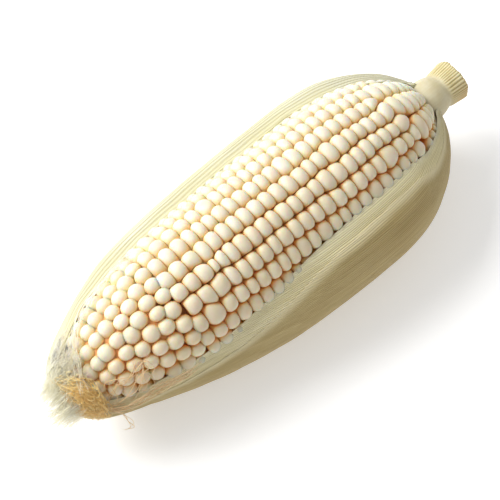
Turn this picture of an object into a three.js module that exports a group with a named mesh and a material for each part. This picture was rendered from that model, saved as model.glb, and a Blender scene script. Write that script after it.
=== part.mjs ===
// An ear of white corn, partly husked, lying on its back: one cob with its cut shank, its rows of
// kernels, five husk leaves that cup the ear from below, and the silk at the tip.
// Millimetres, +Z up. The ear's axis runs along X, from the silk tip at -X to the cut shank at +X.
// Everything is worked out around that axis; at the end the ear is set down with its lowest face at
// Z = 0 and its box centred on the origin.

import * as THREE from "three";

// ---------------------------------------------------------------- driving dimensions

const KERNEL_CROWN_RADIUS = 27.2; // the ear over its kernels, at the fullest place
const FULLEST_X = 25; // where the ear is fullest
const KERNELS_TIP_X = -86;
const KERNELS_BASE_X = 77;
const ROW_COUNT = 22;
const KERNEL_PITCH = 4.7; // from one kernel to the next along a row
const HIDDEN_PITCH = 7; // the same along a row that the husk covers
const KERNEL_DOME = 1.9; // how far a kernel's crown stands above its shoulders
const CROWN_HALF_DEG = 3.6; // half the crown's width
const OPEN_ROWS_RIGHT = 5; // rows that the husk leaves open, from the top towards -Y
const OPEN_ROWS_LEFT = 5; // and towards +Y
const ROW_GAP = 0.4; // clear space between two rows, and under each of them
const FIRST_ROW_DEG = 0.6;
const TWIST_DEG_PER_MM = 0.07; // the rows wind a little round the cob
const SHORT_ROW_TIP_X = -66.5; // every other row stops here, as the tip has no room for it
const WIDE_ROWS_X = -71; // past here the rows that are left take up its room
const LONG_ROW_TIP_X = -81;
const ROW_BASE_X = 75;

const COB_SHARE = 0.47; // the cob's radius as a share of the radius over the kernels
const SHANK_NECK_RADIUS = 6.6;
const SHANK_CREASE_RADIUS = 7.2;
const SHANK_BULB_RADIUS = 8;
const SHANK_BULB_X = 79.5;
const SHANK_END_RADIUS = 8.2;
const SHANK_CREASE_X = 84;
const SHANK_END_X = 92;

const HUSK_TIP_X = -97;
const HUSK_BASE_X = 80.5;
const LEAF_BASE_X = 79; // the leaves end on the shank's bulb
const LEAF_THICKNESS = 0.5;
const LAYER_STEP = 1.2; // one leaf and the gap outside it
const BACK_LAYER = 2;
const HUSK_CLEARANCE = 0.5; // from the kernels to the innermost leaf
const HUSK_BELLY = 6.9; // how far the right-hand leaves stand off the kernels
const HUSK_LIP = 3.2; // how far the left-hand leaves turn out at their rim
const HUSK_SAG = 1.5; // how far the husk spreads where the ear's weight presses it flat
const AXIS_HEIGHT = 29.3; // the ear's axis above the surface it lies on

const SILK_WISP_RADIUS = 0.6;
const SILK_CLEARANCE = 1.3; // from the kernels' crowns to the middle of a wisp

// ---------------------------------------------------------------- shared shape functions

const radians = THREE.MathUtils.degToRad;
const lerp = THREE.MathUtils.lerp;
const smoothstep = THREE.MathUtils.smoothstep;

// A barrel's profile from 0 at its tip end, through 1 at its peak, to 0 at its base end. Each end
// is given as [x, power, root]: a higher power or root makes that end blunter.
function swell(x, peak, tip, base) {
  const [end, power, root] = x < peak ? tip : base;
  const t = (x - peak) / (end - peak);
  return Math.max(0, 1 - Math.pow(t, power)) ** (1 / root);
}

function kernelRadius(x) {
  const share = swell(x, FULLEST_X, [KERNELS_TIP_X, 3, 2.5], [KERNELS_BASE_X, 2, 2.2]);
  return KERNEL_CROWN_RADIUS * share;
}

// The radius that the husk cups: the ear's own, drawn out past the kernels at both ends.
function huskRadius(x) {
  const share = swell(x, FULLEST_X, [HUSK_TIP_X, 2.6, 2.5], [HUSK_BASE_X, 2.2, 2.2]);
  return Math.max(KERNEL_CROWN_RADIUS * share, SHANK_BULB_RADIUS);
}

function huskBelly(x) {
  return HUSK_BELLY * swell(x, FULLEST_X + 3, [-72, 2.1, 1], [77, 2.4, 1]);
}

function huskLip(x) {
  return HUSK_LIP * smoothstep(x, -85, -35) * (1 - 0.5 * smoothstep(x, 40, 78));
}

// A point at an angle from straight up, turned towards -Y, and at a radius from the ear's axis.
function polar(degrees, radius) {
  const angle = radians(degrees);
  return new THREE.Vector2(-radius * Math.sin(angle), radius * Math.cos(angle));
}

// ---------------------------------------------------------------- cob and shank

function cobRadius(x) {
  const neck = x > FULLEST_X ? SHANK_NECK_RADIUS : 0;
  return Math.max(COB_SHARE * kernelRadius(x), neck);
}

function makeCobAndShank() {
  const profile = [new THREE.Vector2(0, KERNELS_TIP_X + 1)];
  for (const x of [-83, -78, -70, -58, -40, -10, 20, 40, 52, 60, 66, 70, ROW_BASE_X]) {
    profile.push(new THREE.Vector2(cobRadius(x), x));
  }
  profile.push(
    new THREE.Vector2(SHANK_BULB_RADIUS - 0.4, SHANK_BULB_X - 2.2),
    new THREE.Vector2(SHANK_BULB_RADIUS, SHANK_BULB_X),
    new THREE.Vector2(SHANK_BULB_RADIUS - 0.3, SHANK_BULB_X + 2.2),
    new THREE.Vector2(SHANK_CREASE_RADIUS, SHANK_CREASE_X),
    new THREE.Vector2(SHANK_CREASE_RADIUS + 0.4, SHANK_CREASE_X + 0.8),
    new THREE.Vector2(SHANK_END_RADIUS, SHANK_END_X - 0.9),
    new THREE.Vector2(SHANK_END_RADIUS - 0.3, SHANK_END_X),
    new THREE.Vector2(0, SHANK_END_X),
  );
  return new THREE.LatheGeometry(profile, 24).rotateZ(-Math.PI / 2);
}

// ---------------------------------------------------------------- kernel rows

// Rows under the husk are plain ridges; a row in the open window has a crown for each kernel.
function isInWindow(row) {
  return row < OPEN_ROWS_RIGHT || row >= ROW_COUNT - OPEN_ROWS_LEFT;
}

// One row of kernels as one wedge-shaped solid: an edge along the cob, two shoulders, and a low
// crown on each kernel. The whole row winds round the cob with the twist.
function makeKernelRow(row) {
  const from = row % 2 ? SHORT_ROW_TIP_X : LONG_ROW_TIP_X;
  const pitch = isInWindow(row) ? KERNEL_PITCH : HIDDEN_PITCH;
  const kernels = Math.round((ROW_BASE_X - from) / pitch);
  const positions = [];
  const place = (x, turn, radius) => {
    const degrees = FIRST_ROW_DEG + (row * 360) / ROW_COUNT + TWIST_DEG_PER_MM * x;
    const spot = polar(degrees + turn, radius);
    positions.push(x, spot.x, spot.y);
  };
  for (let i = 0; i <= kernels; i++) {
    const x = lerp(from, ROW_BASE_X, i / kernels);
    const shoulder = Math.max(kernelRadius(x) - KERNEL_DOME, cobRadius(x) + ROW_GAP + 1);
    const sector = (x < WIDE_ROWS_X ? 360 : 180) / ROW_COUNT;
    const reach = sector - THREE.MathUtils.radToDeg(ROW_GAP / 2 / shoulder);
    place(x, 0, cobRadius(x) + ROW_GAP);
    place(x, reach, shoulder);
    place(x, -reach, shoulder);
  }
  for (let i = 0; i < kernels; i++) {
    const x = lerp(from, ROW_BASE_X, (i + 0.5) / kernels);
    const turn = CROWN_HALF_DEG * (x < WIDE_ROWS_X ? 2 : 1);
    place(x, turn, kernelRadius(x));
    place(x, -turn, kernelRadius(x));
  }
  const last = 3 * kernels;
  const index = [0, 1, 2, last, last + 2, last + 1];
  for (let i = 0; i < kernels; i++) {
    const [foot, left, right] = [3 * i, 3 * i + 1, 3 * i + 2];
    const [foot2, left2, right2] = [foot + 3, left + 3, right + 3];
    const [crownLeft, crownRight] = [last + 3 + 2 * i, last + 4 + 2 * i];
    index.push(foot, left2, left, foot, foot2, left2);
    index.push(foot, right2, foot2, foot, right, right2);
    index.push(left, crownLeft, right, right, crownLeft, crownRight);
    index.push(right, crownRight, right2, right2, crownRight, left2);
    index.push(left2, crownRight, crownLeft, left2, crownLeft, left);
  }
  const geometry = new THREE.BufferGeometry();
  geometry.setAttribute("position", new THREE.Float32BufferAttribute(positions, 3));
  geometry.setIndex(index);
  return geometry;
}

// ---------------------------------------------------------------- husk leaves

// The husk's section at x, as a curve in the plane across the ear. It starts at the left-hand rim,
// which turns out as a lip, hugs the ear down to its flat underside, swings out into the
// right-hand belly, and comes back over a soft crease to the right-hand margin on the kernels.
// It is the inner face of the innermost leaf, and a place on it is given from 0 to 12.
const SECTION_SPANS = 12;

function huskSection(x) {
  const r = huskRadius(x) + HUSK_CLEARANCE;
  const belly = huskBelly(x);
  const lip = huskLip(x);
  const sag = HUSK_SAG * smoothstep(x, -60, -10) * (1 - smoothstep(x, 45, 75));
  const close = 12 * smoothstep(x, 64, LEAF_BASE_X); // the margins close in on the shank
  return new THREE.SplineCurve([
    polar(-66 + close, r + lip),
    polar(-69 + close, r + 0.45 * lip),
    polar(-77, r + 0.1),
    polar(-97, r),
    polar(-125, r + 0.3 * sag),
    polar(-152, r + sag),
    polar(-180, r),
    polar(-208, r + sag),
    polar(-232, r + 0.55 * belly),
    polar(-255, r + belly),
    polar(-276, r + 0.86 * belly),
    polar(-294, r + 0.45 * belly),
    polar(-307 - close, r),
  ]);
}

const LEAVES = {
  husk_leaf_left_inner: { layer: 0, from: 0, to: 4.6, tipX: -91 },
  husk_leaf_left_outer: { layer: 1, from: 0.4, to: 5.9, tipX: -93 },
  husk_leaf_right_inner: { layer: 0, from: 7.6, to: 12, tipX: -92 },
  husk_leaf_right_outer: { layer: 1, from: 6.1, to: 11.15, tipTo: 11.95, tipX: -93.5 },
  husk_leaf_back: { layer: BACK_LAYER, from: 4.2, to: 8.9, tipX: -94.5 },
};
const LEAF_STEPS = 24;
const LEAF_POINT_LENGTH = 13; // over which a leaf narrows to its point
const LEAF_POINT_SHARE = 0.3; // the share of its width that is left there

// A leaf is a block of one cell's thickness, bent onto the husk's section.
function makeLeaf({ layer, from, to, tipTo = to, tipX }) {
  const across = Math.round(2 * (to - from));
  const block = new THREE.BoxGeometry(1, 1, 1, LEAF_STEPS, across, 1);
  const position = block.getAttribute("position");
  for (let i = 0; i < position.count; i++) {
    const along = position.getX(i) + 0.5;
    const width = position.getY(i) + 0.5;
    const depth = position.getZ(i) + 0.5;
    const x = lerp(tipX, LEAF_BASE_X, 0.5 - 0.5 * Math.cos(Math.PI * along));
    const top = lerp(tipTo, to, smoothstep(x, -56, -24));
    const middle = (from + top) / 2;
    const point = smoothstep(x, tipX, tipX + LEAF_POINT_LENGTH);
    const share = lerp(LEAF_POINT_SHARE, 1, point);
    const at = (middle + (width - 0.5) * (top - from) * share) / SECTION_SPANS;
    const section = huskSection(x);
    const spot = section.getPoint(at);
    const tangent = section.getTangent(at);
    const offset = layer * LAYER_STEP + depth * LEAF_THICKNESS;
    const outermost = BACK_LAYER * LAYER_STEP + LEAF_THICKNESS;
    const y = spot.x - tangent.y * offset;
    const z = spot.y + tangent.x * offset;
    position.setXYZ(i, x, y, Math.max(z, outermost - offset - AXIS_HEIGHT));
  }
  return block;
}

// ---------------------------------------------------------------- silk

// The matted silk at the tip: a rounded plug between the leaves, open towards the top.
function makeSilkTuft() {
  const plug = new THREE.SphereGeometry(1, 16, 10);
  plug.scale(6, 7.5, 6.5);
  plug.translate(-92, -0.5, 1.5);
  return plug;
}

// Each wisp's route: points as x, degrees from straight up, and height over the kernels' crowns.
const WISPS = {
  silk_wisp_across: [
    [-84, 4, 5],
    [-77, 16, 1.5],
    [-68, 24, 0.2],
    [-58, 25, 0],
  ],
  silk_wisp_loop: [
    [-84, 24, 5],
    [-76, 32, 1.5],
    [-68, 38, 0.2],
    [-62, 34, 0],
  ],
  silk_wisp_margin: [
    [-84, 42, 5],
    [-76, 45, 1.5],
    [-64, 46, 0.2],
    [-50, 46, 0],
  ],
  silk_wisp_left: [
    [-84, -20, 5],
    [-76, -34, 1.5],
    [-66, -40, 0.2],
    [-56, -40, 0],
  ],
};

function makeWisp(route) {
  const points = route.map(([x, degrees, lift]) => {
    const spot = polar(degrees, kernelRadius(x) + SILK_CLEARANCE + lift);
    return new THREE.Vector3(x, spot.x, spot.y);
  });
  const round = new THREE.Shape();
  round.absarc(0, 0, SILK_WISP_RADIUS, 0, 2 * Math.PI);
  return new THREE.ExtrudeGeometry(round, {
    steps: 14,
    curveSegments: 3,
    bevelEnabled: false,
    extrudePath: new THREE.CatmullRomCurve3(points),
  });
}

// ---------------------------------------------------------------- the ear

const kernelSkin = new THREE.MeshStandardMaterial({ color: 0xf1e6d0, roughness: 0.35 });
const cobChaff = new THREE.MeshStandardMaterial({ color: 0xdccf9a, roughness: 0.75 });
const huskLeaf = new THREE.MeshStandardMaterial({ color: 0xcbbf8c, roughness: 0.7 });
const silk = new THREE.MeshStandardMaterial({ color: 0xd8b877, roughness: 0.6 });

const ear = new THREE.Group();

function addPiece(name, geometry, material) {
  const piece = new THREE.Mesh(geometry, material);
  piece.name = name;
  ear.add(piece);
}

addPiece("cob_and_shank", makeCobAndShank(), cobChaff);
for (let row = 0; row < ROW_COUNT; row++) {
  const number = String(row + 1).padStart(2, "0");
  addPiece(`kernel_row_${number}`, makeKernelRow(row), kernelSkin);
}
for (const [name, leaf] of Object.entries(LEAVES)) {
  addPiece(name, makeLeaf(leaf), huskLeaf);
}
addPiece("silk_tuft", makeSilkTuft(), silk);
for (const [name, route] of Object.entries(WISPS)) {
  addPiece(name, makeWisp(route), silk);
}

// Set the ear down: its box is centred on the origin, and its flat underside is at Z = 0.
const box = new THREE.Box3().setFromObject(ear);
const centre = box.getCenter(new THREE.Vector3());
ear.position.set(-centre.x, -centre.y, -box.min.z);

const corn = new THREE.Group();
corn.add(ear);

export default corn;
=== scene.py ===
"""An ear of white corn, partly husked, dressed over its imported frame.

The ear lies along X on the back of its husk, with its silk tip at -X and its cut shank at +X.
Sizes are in millimetres around the ear's own axis and become metres when a mesh is made. A
place on the ear is given as x along the axis and as a turn in degrees from straight up,
growing towards +Y.
"""

import logging
import math
from dataclasses import dataclass, field
from enum import Enum

import bpy
import numpy as np
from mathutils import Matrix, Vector


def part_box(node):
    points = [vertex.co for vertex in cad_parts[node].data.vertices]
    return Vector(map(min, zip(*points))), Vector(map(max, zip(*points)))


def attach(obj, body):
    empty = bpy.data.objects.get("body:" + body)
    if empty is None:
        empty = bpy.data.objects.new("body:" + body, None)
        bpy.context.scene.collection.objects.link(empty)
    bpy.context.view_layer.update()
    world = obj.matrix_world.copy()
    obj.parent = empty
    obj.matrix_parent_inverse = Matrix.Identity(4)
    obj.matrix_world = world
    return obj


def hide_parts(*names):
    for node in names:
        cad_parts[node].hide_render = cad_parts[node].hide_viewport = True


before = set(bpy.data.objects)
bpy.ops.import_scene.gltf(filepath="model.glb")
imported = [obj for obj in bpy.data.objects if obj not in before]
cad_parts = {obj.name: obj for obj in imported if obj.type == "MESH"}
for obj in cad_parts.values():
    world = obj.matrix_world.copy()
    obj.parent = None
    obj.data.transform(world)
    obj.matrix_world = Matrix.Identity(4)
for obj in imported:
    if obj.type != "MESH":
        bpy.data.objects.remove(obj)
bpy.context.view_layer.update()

MM = 0.001
BODY = "root"
ROW_COUNT = 22
SECTOR_DEG = 360.0 / ROW_COUNT
STOP_POWER = 14
LOG = logging.getLogger("corn")

Colour = tuple[float, float, float]
Route = tuple[tuple[float, float, float], ...]


def smoothstep(values: np.ndarray, low: float, high: float) -> np.ndarray:
    """Rise from 0 to 1 without corners.

    Args:
        values: The places to read.
        low: Where the rise starts.
        high: Where it is complete.

    Returns:
        The height of the rise at each place.
    """
    t = np.clip((values - low) / (high - low), 0.0, 1.0)
    return t * t * (3.0 - 2.0 * t)


def wander(places: np.ndarray, rng: np.random.Generator, wavelength: float) -> np.ndarray:
    """Drift gently to either side of 0, as a grown edge does.

    Args:
        places: The places to read, in millimetres.
        rng: The source of chance.
        wavelength: The length of the longest swing.

    Returns:
        A value of about -1 to 1 at each place.
    """
    total = np.zeros_like(places, dtype=float)
    for octave in range(3):
        phase = rng.uniform(0.0, 2.0 * math.pi)
        stretch = 2.0**octave * rng.uniform(0.8, 1.25)
        total += np.sin(2.0 * math.pi * places * stretch / wavelength + phase) * 0.6**octave
    return total / 1.6


def hold(values: np.ndarray) -> np.ndarray:
    """Keep values inside -1 to 1 with a soft stop, so neighbours press flat and never cross."""
    return values / (1.0 + np.abs(values) ** STOP_POWER) ** (1.0 / STOP_POWER)


def knot_weights(at: np.ndarray, knots: np.ndarray) -> np.ndarray:
    """Work out how a smooth curve through knots mixes the knots' values.

    Args:
        at: The places to read, inside the knots.
        knots: The knots' places, rising.

    Returns:
        One row per place and one column per knot.
    """
    count = len(knots)
    slopes = np.zeros((count, count))
    for i in range(count):
        low, high = max(i - 1, 0), min(i + 1, count - 1)
        slopes[i, low] -= 1.0 / (knots[high] - knots[low])
        slopes[i, high] += 1.0 / (knots[high] - knots[low])
    span = np.clip(np.searchsorted(knots, at) - 1, 0, count - 2)
    width = knots[span + 1] - knots[span]
    t = np.clip((at - knots[span]) / width, 0.0, 1.0)
    same = np.eye(count)
    return (
        (2 * t**3 - 3 * t**2 + 1)[:, None] * same[span]
        + ((t**3 - 2 * t**2 + t) * width)[:, None] * slopes[span]
        + (3 * t**2 - 2 * t**3)[:, None] * same[span + 1]
        + ((t**3 - t**2) * width)[:, None] * slopes[span + 1]
    )


# ---------------------------------------------------------------- the ear's shape


@dataclass(frozen=True)
class EarEnd:
    """How a profile runs out at one end: where it ends, and how blunt it is."""

    x: float
    power: float
    root: float


@dataclass(frozen=True)
class EarShape:
    """The radii of the ear and of its husk, against the place along the axis."""

    crown_radius: float = 27.2
    fullest_x: float = 25.0
    kernel_tip: EarEnd = EarEnd(-90.0, 3.4, 2.5)
    kernel_base: EarEnd = EarEnd(75.5, 2.2, 2.3)
    husk_tip: EarEnd = EarEnd(-97.0, 2.6, 2.5)
    husk_base: EarEnd = EarEnd(77.5, 2.3, 2.3)
    bulb_radius: float = 8.0
    belly: float = 8.8
    lip: float = 4.3
    sag: float = 1.5
    axis_height: float = 29.3
    clearance: float = 0.5
    twist_deg_per_mm: float = 0.07

    def swell(self, x: np.ndarray, tip: EarEnd, base: EarEnd, peak: float) -> np.ndarray:
        """Read a barrel's profile.

        Args:
            x: Places along the axis.
            tip: The profile's tip end.
            base: The profile's base end.
            peak: Where the profile reaches 1.

        Returns:
            The share of the full radius at each place.
        """
        x = np.asarray(x, dtype=float)
        shares = []
        for end in (tip, base):
            t = np.clip((x - peak) / (end.x - peak), 0.0, 1.0)
            shares.append(np.maximum(0.0, 1.0 - t**end.power) ** (1.0 / end.root))
        return np.where(x < peak, shares[0], shares[1])

    def kernel_radius(self, x: np.ndarray) -> np.ndarray:
        """The radius over the kernels' crowns at each x."""
        share = self.swell(x, self.kernel_tip, self.kernel_base, self.fullest_x)
        return self.crown_radius * share

    def husk_radius(self, x: np.ndarray) -> np.ndarray:
        """The radius that the husk cups at each x."""
        share = self.swell(x, self.husk_tip, self.husk_base, self.fullest_x)
        return np.maximum(self.crown_radius * share, self.bulb_radius * (x > self.fullest_x))

    def husk_section(self, x: np.ndarray, turn: np.ndarray) -> np.ndarray:
        """Find the radius of the husk's inner face.

        Args:
            x: Places along the axis.
            turn: Turns from straight up, between the left margin and the right one.

        Returns:
            One row per place and one column per turn.
        """
        hug = self.husk_radius(x) + self.clearance
        low, high = EarEnd(-74.0, 2.1, 1.0), EarEnd(76.5, 2.6, 1.0)
        belly = self.belly * self.swell(x, low, high, self.fullest_x)
        lip = self.lip * smoothstep(x, -90.0, -50.0) * (1.0 - 0.8 * smoothstep(x, 45.0, 74.0))
        sag = self.sag * smoothstep(x, -60.0, -10.0) * (1.0 - smoothstep(x, 45.0, 75.0))
        tuck = np.clip(self.husk_radius(x) - self.kernel_radius(x) - 0.1, 0.0, 5.0)
        tuck = tuck * smoothstep(x, -95.0, -84.0) * (1.0 - smoothstep(x, 73.5, 76.5))
        butt = tuck * smoothstep(x, 52.0, 66.0)
        press = 1.5 * smoothstep(x, -92.0, -80.0) * (1.0 - smoothstep(x, 68.0, 75.0))
        none = np.zeros_like(hug)
        stands = {
            20.0: -tuck - press,
            64.0: -tuck - 1.7 * press,
            67.5: 0.12 * lip - 0.9 * tuck - 0.8 * press,
            70.5: 0.6 * lip - 0.5 * tuck,
            73.5: 0.92 * lip - 0.25 * tuck,
            77.5: lip - 0.6 * butt,
            85.0: 0.7 * lip - 0.5 * butt,
            95.0: 0.25 * lip - 0.3 * butt,
            108.0: none,
            125.0: 0.3 * sag,
            152.0: sag,
            180.0: none,
            208.0: sag,
            230.0: 0.55 * belly,
            254.0: belly,
            275.0: 0.84 * belly,
            290.0: 0.45 * belly - 0.25 * tuck,
            300.0: 0.13 * belly - 0.8 * tuck - 0.5 * press,
            307.0: -tuck - press,
            330.0: -tuck - press,
        }
        weights = knot_weights(turn, np.array(list(stands)))
        return hug[:, None] + np.stack(list(stands.values()), axis=1) @ weights.T


@dataclass(frozen=True)
class EarSpace:
    """Where the ear's own axis lies in the frame, in metres."""

    origin: Vector

    @classmethod
    def from_shank(cls, end_x: float) -> "EarSpace":
        """Find the axis from the turned cob and shank.

        Args:
            end_x: Where the shank ends in the ear's own space.

        Returns:
            The ear's place in the frame.
        """
        low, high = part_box("cob_and_shank")
        middle = (low + high) / 2
        return cls(Vector((high.x - end_x * MM, middle.y, middle.z)))

    def to_frame(self, points: np.ndarray) -> np.ndarray:
        """Turn points around the ear's axis into metres in the frame."""
        return points * MM + np.array(self.origin)


def round_axis(x: np.ndarray, turn: np.ndarray, radius: np.ndarray) -> np.ndarray:
    """Place points around the axis.

    Args:
        x: Places along the axis.
        turn: Degrees from straight up, growing towards +Y.
        radius: Distances from the axis.

    Returns:
        Points in the ear's own space, one row each.
    """
    x, turn, radius = np.broadcast_arrays(x, np.radians(turn), radius)
    points = np.stack([x, radius * np.sin(turn), radius * np.cos(turn)], axis=-1)
    return points.reshape(-1, 3)


# ---------------------------------------------------------------- meshes


@dataclass
class MeshParts:
    """Points, faces and marks that are gathered before they become one object."""

    points: list[np.ndarray] = field(default_factory=list)
    faces: list[np.ndarray] = field(default_factory=list)
    marks: dict[str, list[np.ndarray]] = field(default_factory=dict)
    count: int = 0

    def add(self, points: np.ndarray, faces: list[np.ndarray], **marks: np.ndarray) -> None:
        """Add one closed body.

        Args:
            points: Its points, in the ear's own space.
            faces: Arrays of three or four corners per face.
            **marks: A value per point, or three, for each named attribute.
        """
        self.points.append(points)
        self.faces += [f + self.count for f in faces]
        for name, values in marks.items():
            self.marks.setdefault(name, []).append(np.asarray(values, dtype=np.float32))
        self.count += len(points)

    def make(self, name: str, space: EarSpace) -> bpy.types.Object:
        """Make the object, smooth shaded, in the frame's metres.

        Args:
            name: The object's name.
            space: The ear's place in the frame.

        Returns:
            The new object.
        """
        mesh = bpy.data.meshes.new(name)
        points = space.to_frame(np.concatenate(self.points)).astype(np.float32)
        mesh.vertices.add(len(points))
        mesh.vertices.foreach_set("co", points.ravel())
        corners = np.concatenate([f.ravel() for f in self.faces]).astype(np.int32)
        sizes = np.concatenate([np.full(len(f), f.shape[1]) for f in self.faces])
        starts = np.concatenate([[0], np.cumsum(sizes)[:-1]]).astype(np.int32)
        mesh.loops.add(len(corners))
        mesh.loops.foreach_set("vertex_index", corners)
        mesh.polygons.add(len(sizes))
        mesh.polygons.foreach_set("loop_start", starts)
        mesh.polygons.foreach_set("use_smooth", np.ones(len(sizes), dtype=bool))
        for mark, values in self.marks.items():
            data = np.concatenate(values)
            kind, key = ("FLOAT", "value") if data.ndim == 1 else ("FLOAT_VECTOR", "vector")
            attribute = mesh.attributes.new(mark, kind, "POINT")
            attribute.data.foreach_set(key, data.ravel())
        mesh.update(calc_edges=True)
        mesh.validate()
        piece = bpy.data.objects.new(name, mesh)
        bpy.context.scene.collection.objects.link(piece)
        return piece


def grid_faces(rows: int, columns: int, closed: bool) -> np.ndarray:
    """Join a grid of points with quads.

    Args:
        rows: Points along the grid.
        columns: Points across the grid.
        closed: True if the last column joins the first.

    Returns:
        Four corners per face.
    """
    i = np.arange(rows - 1)[:, None]
    j = np.arange(columns if closed else columns - 1)[None, :]
    k = (j + 1) % columns
    corners = [i * columns + j, i * columns + k, (i + 1) * columns + k, (i + 1) * columns + j]
    return np.stack(np.broadcast_arrays(*corners), axis=-1).reshape(-1, 4)


def fan_faces(centre: int, ring: np.ndarray, outward: bool) -> np.ndarray:
    """Close a ring of points with triangles to one centre point.

    Args:
        centre: The centre point's number.
        ring: The ring's point numbers.
        outward: False turns the triangles over.

    Returns:
        Three corners per face.
    """
    after = np.roll(ring, -1)
    middle = np.full_like(ring, centre)
    order = [middle, ring, after] if outward else [middle, after, ring]
    return np.stack(order, axis=-1)


def finish_piece(
    piece: bpy.types.Object, material: bpy.types.Material, nodes: list[str]
) -> None:
    """Give a piece its material and its place in the frame.

    Args:
        piece: The piece.
        material: What it is made of.
        nodes: The nodes of the frame it stands for.
    """
    piece.data.materials.append(material)
    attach(piece, BODY)
    if nodes:
        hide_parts(*nodes)


# ---------------------------------------------------------------- finishes


class NodeBench:
    """A material's node tree with short calls for adding and joining nodes."""

    def __init__(self, name: str) -> None:
        """Start a material with one Principled shader.

        Args:
            name: The material's name.
        """
        self.material = bpy.data.materials.new(name)
        self.material.use_nodes = True
        self.tree = self.material.node_tree
        self.shader = self.tree.nodes["Principled BSDF"]

    def add(self, kind: str, **settings: object) -> bpy.types.Node:
        """Add a node.

        Args:
            kind: The node's type name.
            **settings: Its properties.

        Returns:
            The new node.
        """
        node = self.tree.nodes.new(kind)
        for key, value in settings.items():
            setattr(node, key, value)
        return node

    def link(self, source: object, target: object) -> None:
        """Join an output to an input."""
        self.tree.links.new(source, target)

    def mark(self, name: str) -> bpy.types.Node:
        """Read a mesh mark by name."""
        return self.add("ShaderNodeAttribute", attribute_name=name)

    def ramp(self, source: object, stops: list[tuple[float, Colour]]) -> object:
        """Colour a value by stops.

        Args:
            source: The value's output.
            stops: Places from 0 to 1 and their colours.

        Returns:
            The colour output.
        """
        node = self.add("ShaderNodeValToRGB")
        ramp = node.color_ramp
        while len(ramp.elements) < len(stops):
            ramp.elements.new(0.5)
        for element, (place, colour) in zip(ramp.elements, stops):
            element.position = place
            element.color = (*colour, 1.0)
        self.link(source, node.inputs["Fac"])
        return node.outputs["Color"]

    def spread(self, source: object, low: float, high: float) -> object:
        """Map 0 to 1 onto low to high.

        Args:
            source: The value's output.
            low: What 0 becomes.
            high: What 1 becomes.

        Returns:
            The mapped value's output.
        """
        node = self.add("ShaderNodeMapRange")
        node.inputs["To Min"].default_value = low
        node.inputs["To Max"].default_value = high
        self.link(source, node.inputs["Value"])
        return node.outputs["Result"]

    def noise(self, vector: object, scale: float, detail: float, stretch: Colour) -> object:
        """Add stretched noise.

        Args:
            vector: The coordinates' output.
            scale: How fine the noise is.
            detail: How many finer layers it has.
            stretch: How much finer it is along each coordinate.

        Returns:
            The noise's value.
        """
        mapping = self.add("ShaderNodeMapping")
        mapping.inputs["Scale"].default_value = stretch
        self.link(vector, mapping.inputs["Vector"])
        node = self.add("ShaderNodeTexNoise")
        node.inputs["Scale"].default_value = scale
        node.inputs["Detail"].default_value = detail
        self.link(mapping.outputs["Vector"], node.inputs["Vector"])
        return node.outputs["Fac"]

    def lines(self, value: object, pitch: float, waver: object, amount: float) -> object:
        """Draw soft parallel lines.

        Args:
            value: The distance across the lines.
            pitch: The distance from line to line.
            waver: What makes the lines wander.
            amount: How far they wander, in turns of the wave.

        Returns:
            A value from 0 between the lines to 1 on them.
        """
        phase = self.add("ShaderNodeMath", operation="MULTIPLY")
        phase.inputs[1].default_value = 2.0 * math.pi / pitch
        self.link(value, phase.inputs[0])
        shift = self.add("ShaderNodeMath", operation="MULTIPLY_ADD")
        shift.inputs[1].default_value = 2.0 * math.pi * amount
        self.link(waver, shift.inputs[0])
        self.link(phase.outputs[0], shift.inputs[2])
        wave = self.add("ShaderNodeMath", operation="SINE")
        self.link(shift.outputs[0], wave.inputs[0])
        rise = self.add("ShaderNodeMapRange")
        rise.inputs["From Min"].default_value = -1.0
        self.link(wave.outputs[0], rise.inputs["Value"])
        return rise.outputs["Result"]

    def between(self, value: object, start: float, end: float, low: float, high: float) -> object:
        """Map start to end onto low to high, and hold outside them.

        Args:
            value: The value's output.
            start: Where the change begins.
            end: Where it ends.
            low: The value at the start.
            high: The value at the end.

        Returns:
            The mapped value.
        """
        node = self.add("ShaderNodeMapRange", interpolation_type="SMOOTHSTEP")
        names = ("From Min", "From Max", "To Min", "To Max")
        for name, setting in zip(names, (start, end, low, high)):
            node.inputs[name].default_value = setting
        self.link(value, node.inputs["Value"])
        return node.outputs["Result"]

    def mix(self, factor: object, first: object, second: object, mode: str = "MIX") -> object:
        """Mix two colours.

        Args:
            factor: A number or a value output.
            first: A colour or a colour output.
            second: A colour or a colour output.
            mode: The blend type.

        Returns:
            The mixed colour.
        """
        node = self.add("ShaderNodeMix", data_type="RGBA", blend_type=mode)
        for name, value in (("Factor", factor), ("A", first), ("B", second)):
            sockets = [s for s in node.inputs if s.name == name and s.enabled]
            target = sockets[0]
            if isinstance(value, bpy.types.NodeSocket):
                self.link(value, target)
            elif isinstance(value, tuple):
                target.default_value = (*value, 1.0)
            else:
                target.default_value = value
        return [s for s in node.outputs if s.enabled][0]

    def bump(self, height: object, strength: float, distance: float) -> None:
        """Raise the surface by a value.

        Args:
            height: The value's output.
            strength: How much of the bump shows.
            distance: The height of a value of 1, in metres.
        """
        node = self.add("ShaderNodeBump")
        node.inputs["Strength"].default_value = strength
        node.inputs["Distance"].default_value = distance
        self.link(height, node.inputs["Height"])
        self.link(node.outputs["Normal"], self.shader.inputs["Normal"])

    def scatter(self, weight: float, radius: Colour, scale: float) -> None:
        """Let light into the surface.

        Args:
            weight: The share of the light that goes in.
            radius: How far each colour travels, as a share of scale.
            scale: The longest way, in metres.
        """
        self.shader.inputs["Subsurface Weight"].default_value = weight
        self.shader.inputs["Subsurface Radius"].default_value = radius
        self.shader.inputs["Subsurface Scale"].default_value = scale


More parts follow.
